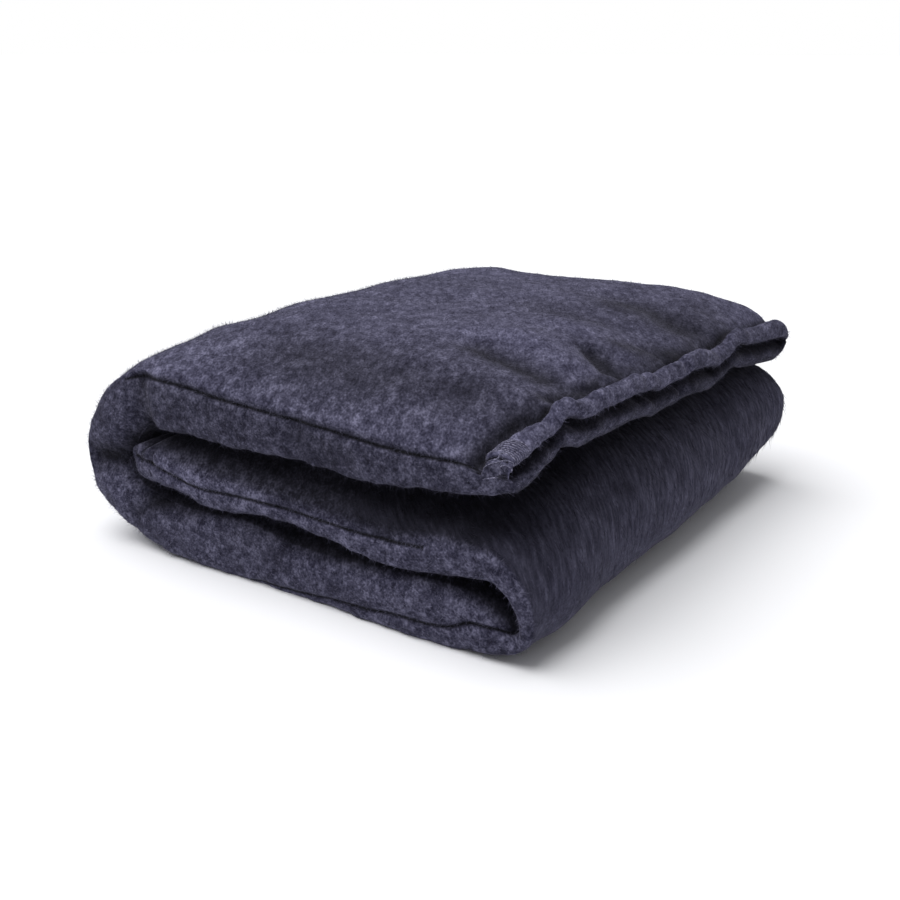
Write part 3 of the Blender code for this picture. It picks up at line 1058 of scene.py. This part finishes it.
# Each kind of fibre: where it grows, how many for each square metre, how long and how wide in
# millimetres, how steeply it stands, how much it strays, how much its shade varies, its bends, how
# far they curl it, and the seed of its random draws.
Fibre = namedtuple("Fibre", "name cover density length width rise straying contrast bends curl seed")
FIBRES = [
    Fibre("top_fuzz", "cover_top", 70e3, 4.5, 0.30, 0.30, 3.0, 0.8, 1, 0.0, 1),
    Fibre("side_fuzz", "cover_sides", 190e3, 5.8, 0.30, 0.55, 3.0, 1.2, 1, 0.0, 2),
    Fibre("right_pile", "cover_right", 40e3, 11.5, 0.48, 0.08, 0.42, 0.45, 2, 0.12, 3),
    Fibre("left_fuzz", "cover_left", 150e3, 6.0, 0.32, 0.50, 2.5, 1.0, 1, 0.0, 4),
]
FIBRE_SIDES = 3
TUFT_SCALE = 60.0  # tufts for each metre, whose fibres stray the same way
TUFT_STRAY = 1.5  # and how far
LEAST_RISE = 0.12  # how far each fibre at least points out of the cloth
FIBRE_WIDTHS = (0.6, 1.2)  # from the narrowest to the widest, as shares of the width
FIBRE_LENGTHS = (0.45, 1.25)
SEED_STEP = 100  # between the seeds of two random measures


def fibre_tree():
    """Thin closed spikes scattered over a surface, lying along its nap."""
    tree = bpy.data.node_groups.new("brushed_fibres", "GeometryNodeTree")
    sockets = tree.interface
    for kind, names in (
        ("Geometry", ["Geometry"]),
        ("Float", ["density", "length", "width", "rise", "straying", "contrast", "curl"]),
        ("Int", ["bends", "seed"]),
        ("String", ["cover"]),
        ("Material", ["material"]),
    ):
        for name in names:
            sockets.new_socket(name, in_out="INPUT", socket_type=f"NodeSocket{kind}")
    sockets.new_socket("Geometry", in_out="OUTPUT", socket_type="NodeSocketGeometry")
    nodes = Nodes(tree)
    given = nodes.add("NodeGroupInput").outputs
    seed = given["seed"]
    cover = nodes.add("GeometryNodeInputNamedAttribute", {"Name": given["cover"]}, data_type="FLOAT")
    density = nodes.math("MULTIPLY", given["density"], cover.outputs["Attribute"])
    spread = {"Mesh": given["Geometry"], "Density": density, "Seed": seed}
    roots = nodes.add("GeometryNodeDistributePointsOnFaces", spread, distribute_method="RANDOM").outputs
    place = nodes.add("GeometryNodeInputPosition").outputs[0]

    # a spike one unit long and wide, bent towards X
    shape = {
        "Vertices": FIBRE_SIDES,
        "Radius Top": 0.0,
        "Radius Bottom": 0.5,
        "Depth": 1.0,
        "Side Segments": given["bends"],
    }
    spike = nodes.add("GeometryNodeMeshCone", shape, fill_type="NGON").outputs["Mesh"]
    height = nodes.add("ShaderNodeSeparateXYZ", {0: place}).outputs["Z"]
    bend = nodes.math("MULTIPLY", nodes.math("MULTIPLY", height, height), given["curl"])
    sway = nodes.add("ShaderNodeCombineXYZ", {"X": bend}).outputs[0]
    bent = nodes.add("GeometryNodeSetPosition", {"Geometry": spike, "Offset": sway}).outputs["Geometry"]

    # each lies along the nap, raised a little, and strays to one side with its neighbours
    nap = nodes.add("GeometryNodeInputNamedAttribute", {"Name": "nap"}, data_type="FLOAT_VECTOR")
    tuft = nodes.add("ShaderNodeTexNoise", {"Scale": TUFT_SCALE, "Detail": 2.0, "Vector": place})
    centred = (2 * TUFT_STRAY,) * 3, (-TUFT_STRAY,) * 3
    sideways = nodes.vector("MULTIPLY_ADD", tuft.outputs["Color"], *centred)
    loose = nodes.random(seed, 1, (-1, -1, -1), (1, 1, 1))
    stray = nodes.scaled(nodes.vector("ADD", sideways, loose), given["straying"])
    raised = nodes.scaled(roots["Normal"], given["rise"])
    aim = nodes.vector("ADD", nodes.vector("ADD", nap.outputs["Attribute"], stray), raised)
    lacking = nodes.math("SUBTRACT", LEAST_RISE, nodes.vector("DOT_PRODUCT", aim, roots["Normal"]))
    above = nodes.scaled(roots["Normal"], nodes.math("MAXIMUM", lacking, 0.0))
    aimed = {"Vector": nodes.vector("ADD", aim, above)}
    turn = nodes.add("FunctionNodeAlignRotationToVector", aimed, axis="Z").outputs[0]
    about = {"Axis": (0, 0, 1), "Angle": nodes.random(seed, 2, 0.0, 2 * math.pi)}
    spin = nodes.add("FunctionNodeAxisAngleToRotation", about).outputs[0]
    both = {"Rotation": turn, "Rotate By": spin}
    turned = nodes.add("FunctionNodeRotateRotation", both, rotation_space="LOCAL").outputs[0]
    width = nodes.math("MULTIPLY", given["width"], nodes.random(seed, 3, *FIBRE_WIDTHS))
    length = nodes.math("MULTIPLY", given["length"], nodes.random(seed, 4, *FIBRE_LENGTHS))
    size = nodes.add("ShaderNodeCombineXYZ", {"X": width, "Y": width, "Z": length}).outputs[0]
    planted = {"Points": roots["Points"], "Instance": bent, "Rotation": turned, "Scale": size}
    plant = nodes.add("GeometryNodeInstanceOnPoints", planted).outputs[0]

    # each has its own shade, and all of them become one plain mesh
    varied = nodes.math("MULTIPLY", nodes.random(seed, 5, -0.5, 0.5), given["contrast"])
    shade = {"Geometry": plant, "Name": "shade", "Value": nodes.math("ADD", varied, 0.5)}
    shaded = nodes.add("GeometryNodeStoreNamedAttribute", shade, data_type="FLOAT", domain="INSTANCE")
    real = nodes.add("GeometryNodeRealizeInstances", {0: shaded.outputs[0]}).outputs[0]
    finish = nodes.add("GeometryNodeSetMaterial", {"Geometry": real, "Material": given["material"]})
    nodes.add("NodeGroupOutput", {0: finish.outputs[0]})
    return tree


def drop_sunken(mesh, corners):
    """Takes out each spike, of so many corners, that would reach into the floor."""
    places = np.empty(len(mesh.vertices) * 3, np.float32)
    mesh.vertices.foreach_get("co", places)
    sunken = np.repeat(places[2::3].reshape(-1, corners).min(1) < 0, corners)
    spikes = bmesh.new()
    spikes.from_mesh(mesh)
    spikes.verts.ensure_lookup_table()
    low = [spikes.verts[i] for i in np.flatnonzero(sunken)]
    bmesh.ops.delete(spikes, geom=low, context="VERTS")
    spikes.to_mesh(mesh)
    spikes.free()


def grow_fibres(shell, tree, fibre, material):
    """One kind of fibre over the shell, as a plain mesh."""
    grower = put_in(fibre.name, shell.data)
    modifier = grower.modifiers.new("fibres", "NODES")
    modifier.node_group = tree
    values = {**fibre._asdict(), "material": material}
    values["length"] *= MM
    values["width"] *= MM
    for item in tree.interface.items_tree:
        if item.name in values:
            modifier[item.identifier] = values[item.name]
    bpy.context.view_layer.update()
    evaluated = grower.evaluated_get(bpy.context.evaluated_depsgraph_get())
    mesh = bpy.data.meshes.new_from_object(evaluated)
    mesh.name = fibre.name
    grower.modifiers.clear()
    grower.data = mesh
    drop_sunken(mesh, FIBRE_SIDES * fibre.bends + 1)
    for name in [attribute.name for attribute in mesh.attributes]:
        if name.startswith("cover") or name in ("seam_gap", "hem_gap", "comb", "nap", "fleck"):
            mesh.attributes.remove(mesh.attributes[name])
    return grower


# ---- Finishes ----------------------------------------------------------------

# Spots of noise: how many for each metre, how fine and how strong their detail is, how long they
# are along each axis, and how far those axes are turned about Z.
Spots = namedtuple("Spots", "scale detail roughness stretch turn", defaults=(0.6, (1, 1, 1), 0.0))
BRUSHED = (1.0, 2.0, 1.0), math.radians(34)  # longer along the way the wool was brushed
CLOUDS = Spots(34.0, 2.5)
FLECKS = Spots(150.0, 3.0, 0.60, *BRUSHED)
SPECKS = Spots(540.0, 1.5, 0.5, *BRUSHED)
STROKES = Spots(200.0, 2.5, 0.55, (4.2, 1.0, 1.0))
FIBRE_SPOTS = Spots(160.0, 3.0, 0.65)
TWIST = Spots(600.0, 2.0, stretch=(1.0, 0.5, 1.0))

FELTED_SHARES = (0.50, 0.36)  # of flecks and specks in the felted wool
COMBED_SHARES = (0.66, 0.20)  # of strokes and specks in the combed pile
FIBRE_SHARES = (0.35, 0.65)  # of each fibre's own shade and the spots it grows in
CLOUD_LEVEL = 0.2  # the clouds lighten the wool above this level
CLOUD_SHARE = 0.24  # and by this share of it
MIDDLE = 0.5  # the level about which the flecks vary
SEAM_LINE = 0.0026  # how far from a seam's line the wool is itself again
SEAM_HEIGHT = 0.30  # how much higher the wool stands beside that line
WOOL_BUMP = (0.8, 0.0018)  # strength and distance
YARN_BUMP = (0.6, 0.0006)
WOOL_COLOURS = (
    (0.37, (0.014, 0.013, 0.028)),
    (0.46, (0.037, 0.036, 0.064)),
    (0.54, (0.074, 0.072, 0.117)),
    (0.64, (0.155, 0.151, 0.230)),
)
# how dark the wool is by its stitched lines: partly their own dark line and partly painted shade in the
# creases they draw in
SEAM_SHADES = ((0.0, (0.06,) * 3), (0.32, (0.16,) * 3), (1.0, (1.0,) * 3))
FIBRE_COLOURS = (
    (0.30, (0.022, 0.021, 0.041)),
    (0.46, (0.050, 0.048, 0.083)),
    (0.60, (0.098, 0.095, 0.152)),
    (0.76, (0.210, 0.204, 0.302)),
)
YARN_COLOURS = (
    (0.36, (0.05, 0.048, 0.08)),
    (0.52, (0.13, 0.127, 0.19)),
    (0.66, (0.30, 0.29, 0.40)),
)


def new_finish(name, roughness, specular):
    """A new finish, its nodes and its shader."""
    material = bpy.data.materials.new(name)
    material.use_nodes = True
    shader = material.node_tree.nodes["Principled BSDF"]
    shader.inputs["Roughness"].default_value = roughness
    shader.inputs["Specular IOR Level"].default_value = specular
    return material, Nodes(material.node_tree), shader


def brushed_wool():
    """Dark indigo heather wool: mottled, brushed along the strip, with a soft sheen."""
    material, nodes, shader = new_finish("brushed_wool", 0.95, 0.15)
    shader.inputs["Sheen Weight"].default_value = 0.12
    shader.inputs["Sheen Roughness"].default_value = 0.45
    shader.inputs["Sheen Tint"].default_value = (0.62, 0.60, 0.80, 1)
    place = nodes.place()
    cloud, fleck, speck = (nodes.noise(place, spots) for spots in (CLOUDS, FLECKS, SPECKS))
    stroke = nodes.noise(nodes.attribute("comb", "Vector"), STROKES)
    kinds = {
        "Factor": nodes.attribute("cover_right"),
        "A": nodes.weighted((fleck, speck), FELTED_SHARES),
        "B": nodes.weighted((stroke, speck), COMBED_SHARES),
    }
    surface = nodes.add("ShaderNodeMix", kinds, data_type="FLOAT").outputs["Result"]
    clouded = nodes.math("MULTIPLY", nodes.math("SUBTRACT", cloud, CLOUD_LEVEL), CLOUD_SHARE)
    mixed = nodes.math("SUBTRACT", nodes.math("ADD", surface, clouded), MIDDLE)
    varied = nodes.math("MULTIPLY", mixed, nodes.attribute("fleck"))
    colour = nodes.ramp(nodes.math("ADD", varied, MIDDLE), WOOL_COLOURS)
    seam = nodes.math("ABSOLUTE", nodes.attribute("seam_gap"))
    gap = nodes.math("MINIMUM", seam, nodes.attribute("hem_gap"))
    line = nodes.math("MULTIPLY", gap, 1 / SEAM_LINE, clamp=True)
    # the colour times the painted light and shade that each point carries, darker by the stitched lines
    shades = {
        "Factor": 1.0,
        "A": nodes.scaled(colour, nodes.attribute("painted_shading")),
        "B": nodes.ramp(line, SEAM_SHADES),
    }
    darker = nodes.add("ShaderNodeMix", shades, data_type="RGBA", blend_type="MULTIPLY")
    nodes.feed(shader.inputs["Base Color"], darker.outputs["Result"])
    height = nodes.math("ADD", surface, nodes.math("MULTIPLY", line, SEAM_HEIGHT))
    nodes.feed(shader.inputs["Normal"], nodes.bump(height, *WOOL_BUMP))
    return material


def wool_fibre():
    """Single brushed fibres, from dark indigo to pale lavender grey."""
    material, nodes, shader = new_finish("wool_fibre", 0.8, 0.2)
    spot = nodes.noise(nodes.place(), FIBRE_SPOTS)
    mixed = nodes.weighted((nodes.attribute("shade"), spot), FIBRE_SHARES)
    colour = nodes.ramp(mixed, FIBRE_COLOURS)
    # each fibre takes the painted light and shade of the cloth it grows from
    nodes.feed(shader.inputs["Base Color"], nodes.scaled(colour, nodes.attribute("painted_shading")))
    return material


def hem_yarn():
    """Pale twisted yarn over the end of the hem."""
    material, nodes, shader = new_finish("hem_yarn", 0.85, 0.2)
    twist = nodes.noise(nodes.place(), TWIST)
    nodes.feed(shader.inputs["Base Color"], nodes.ramp(twist, YARN_COLOURS))
    nodes.feed(shader.inputs["Normal"], nodes.bump(twist, *YARN_BUMP))
    return material


# ---- Studio ------------------------------------------------------------------

CAMERA_PLACE = (0.6282, -0.9241, 0.4386)
CAMERA_TURN = math.radians(34.56)
CAMERA_TILT = math.radians(90 - 18.89)
CAMERA_LENS = 47.1
SENSOR_WIDTH = 36.0
FLOOR_REACH = 60.0  # from its middle to each side
FLOOR_COLOUR = (0.924, 0.928, 0.952, 1)
WHITE = (1, 1, 1, 1)
ROOM_LIGHT = 0.355
KEY_LIGHT = 2.83
KEY_SIZE = math.radians(60)
KEY_HEIGHT = math.radians(70)
KEY_TURN = math.radians(35)


def make_floor():
    """A wide pale floor."""
    paper, _, shader = new_finish("pale_paper", 0.9, 0.0)
    shader.inputs["Base Color"].default_value = FLOOR_COLOUR
    reach = FLOOR_REACH
    corners = [(-reach, -reach, 0), (reach, -reach, 0), (reach, reach, 0), (-reach, reach, 0)]
    return smooth_piece("floor", corners, [(0, 1, 2, 3)], paper)


def make_room():
    """Even light from all round, with a white backdrop behind the floor."""
    world = bpy.data.worlds.new("studio")
    world.use_nodes = True
    nodes = Nodes(world.node_tree)
    room = world.node_tree.nodes["Background"]
    room.inputs["Color"].default_value = WHITE
    room.inputs["Strength"].default_value = ROOM_LIGHT
    backdrop = nodes.add("ShaderNodeBackground", {"Color": WHITE, "Strength": 1.0}).outputs[0]
    seen = nodes.add("ShaderNodeLightPath").outputs["Is Camera Ray"]
    mix = nodes.add("ShaderNodeMixShader", {"Fac": seen, 1: room.outputs[0], 2: backdrop})
    nodes.feed(world.node_tree.nodes["World Output"].inputs["Surface"], mix.outputs[0])
    bpy.context.scene.world = world


def make_lamp():
    """One broad soft light, high up at the left."""
    light = bpy.data.lights.new("soft_light", "SUN")
    light.energy = KEY_LIGHT
    light.angle = KEY_SIZE
    level = math.cos(KEY_HEIGHT)
    toward = Vector((-level * math.cos(KEY_TURN), -level * math.sin(KEY_TURN), math.sin(KEY_HEIGHT)))
    put_in("soft_light", light).rotation_euler = (-toward).to_track_quat("-Z", "Y").to_euler()


def make_camera():
    """The camera, before the right end of the duvet's near side."""
    camera_data = bpy.data.cameras.new("camera")
    camera_data.lens = CAMERA_LENS
    camera_data.sensor_width = SENSOR_WIDTH
    camera = put_in("camera", camera_data)
    camera.location = CAMERA_PLACE
    camera.rotation_euler = (CAMERA_TILT, 0, CAMERA_TURN)
    bpy.context.scene.camera = camera
    bpy.context.scene.view_settings.view_transform = "Standard"


# ---- The duvet in its studio -------------------------------------------------

wool = brushed_wool()
shell, roll_lines = make_shell(wool)
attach(shell, "root")
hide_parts("duvet")
fibres = wool_fibre()
tree = fibre_tree()
for fibre in FIBRES:
    pile = grow_fibres(shell, tree, fibre, fibres)
    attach(pile, "root")
threads = make_threads(roll_lines, hem_yarn())
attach(threads, "root")
floor = make_floor()
make_room()
make_lamp()
make_camera()
